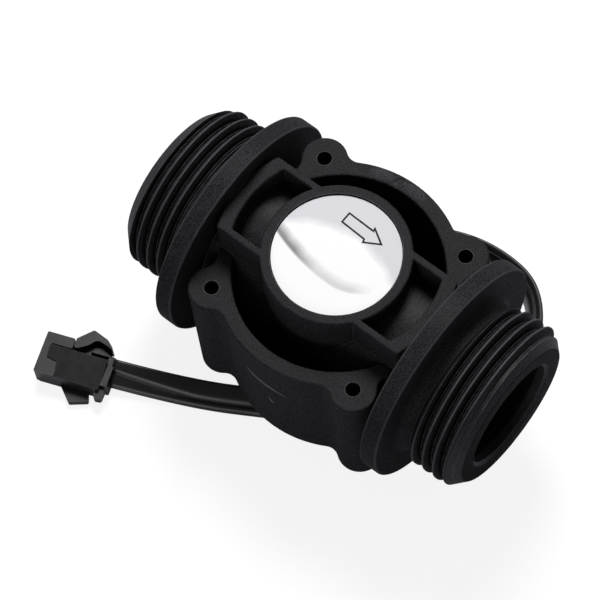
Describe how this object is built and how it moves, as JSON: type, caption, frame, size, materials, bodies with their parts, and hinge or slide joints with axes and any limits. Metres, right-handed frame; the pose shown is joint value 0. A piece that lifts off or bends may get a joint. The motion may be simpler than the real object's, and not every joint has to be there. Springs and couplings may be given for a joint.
{
  "type": "flow sensor",
  "caption": "Paddle-wheel flow sensor with a threaded pipe end each side, a round lugged body, a label with a flow arrow and a short flat lead with a plug.",
  "frame": {"origin": "on the surface that the sensor lies on, under the middle of the pipe", "axes": "+X along the pipe in the flow direction, +Z towards the label"},
  "size_m": [0.0835, 0.0744, 0.0479],
  "materials": {
    "black_nylon": "fine-grained moulded black glass-filled nylon",
    "silver_foil": "brushed silver foil label with a printed flow arrow",
    "seal_rubber": "soft black rubber",
    "screw_steel": "plated steel screw",
    "wheel_plastic": "natural white moulded plastic",
    "magnet": "nickel-plated magnet",
    "bush_bronze": "sintered bronze",
    "shaft_steel": "ground stainless steel",
    "washer_plastic": "white low-friction plastic",
    "board": "green lacquered circuit board",
    "chip_resin": "black moulded resin",
    "capacitor_ceramic": "tan ceramic",
    "core_insulation": "coloured core insulation",
    "grommet_rubber": "soft black rubber",
    "cable_jacket": "semi-gloss black flexible jacket",
    "plug_plastic": "semi-gloss black moulded plastic",
    "contact_brass": "tinned brass"
  },
  "bodies": {
    "housing": {"body": "black_nylon", "rear_cover": "black_nylon", "label": "silver_foil", "cover_seal": "seal_rubber", "cover_screws": "screw_steel", "impeller_shaft": "shaft_steel", "upper_thrust_washer": "washer_plastic", "lower_thrust_washer": "washer_plastic", "sensor_board": "board", "hall_sensor": "chip_resin", "board_resistor": "chip_resin", "board_capacitor": "capacitor_ceramic", "core_wires": "core_insulation", "pocket_lid": "black_nylon", "cable_grommet": "grommet_rubber", "signal_cable": "cable_jacket", "plug_housing": "plug_plastic", "plug_contacts": "contact_brass"},
    "wheel": {"impeller": "wheel_plastic", "impeller_magnets": "magnet", "upper_bush": "bush_bronze", "lower_bush": "bush_bronze"},
    "latch": {"plug_latch": "plug_plastic"}
  },
  "joints": [
    {"name": "wheel_spin", "type": "hinge", "parent": "housing", "child": "wheel", "pos_m": [0, 0, 0.026], "axis": [0, 0, 1], "continuous": true},
    {"name": "latch_press", "type": "hinge", "parent": "housing", "child": "latch", "pos_m": [-0.03938, -0.03036, 0.0026], "axis": [0, 0, -1], "range_deg": [0, 5], "stiffness_Nm_per_rad": 0.02}
  ]
}
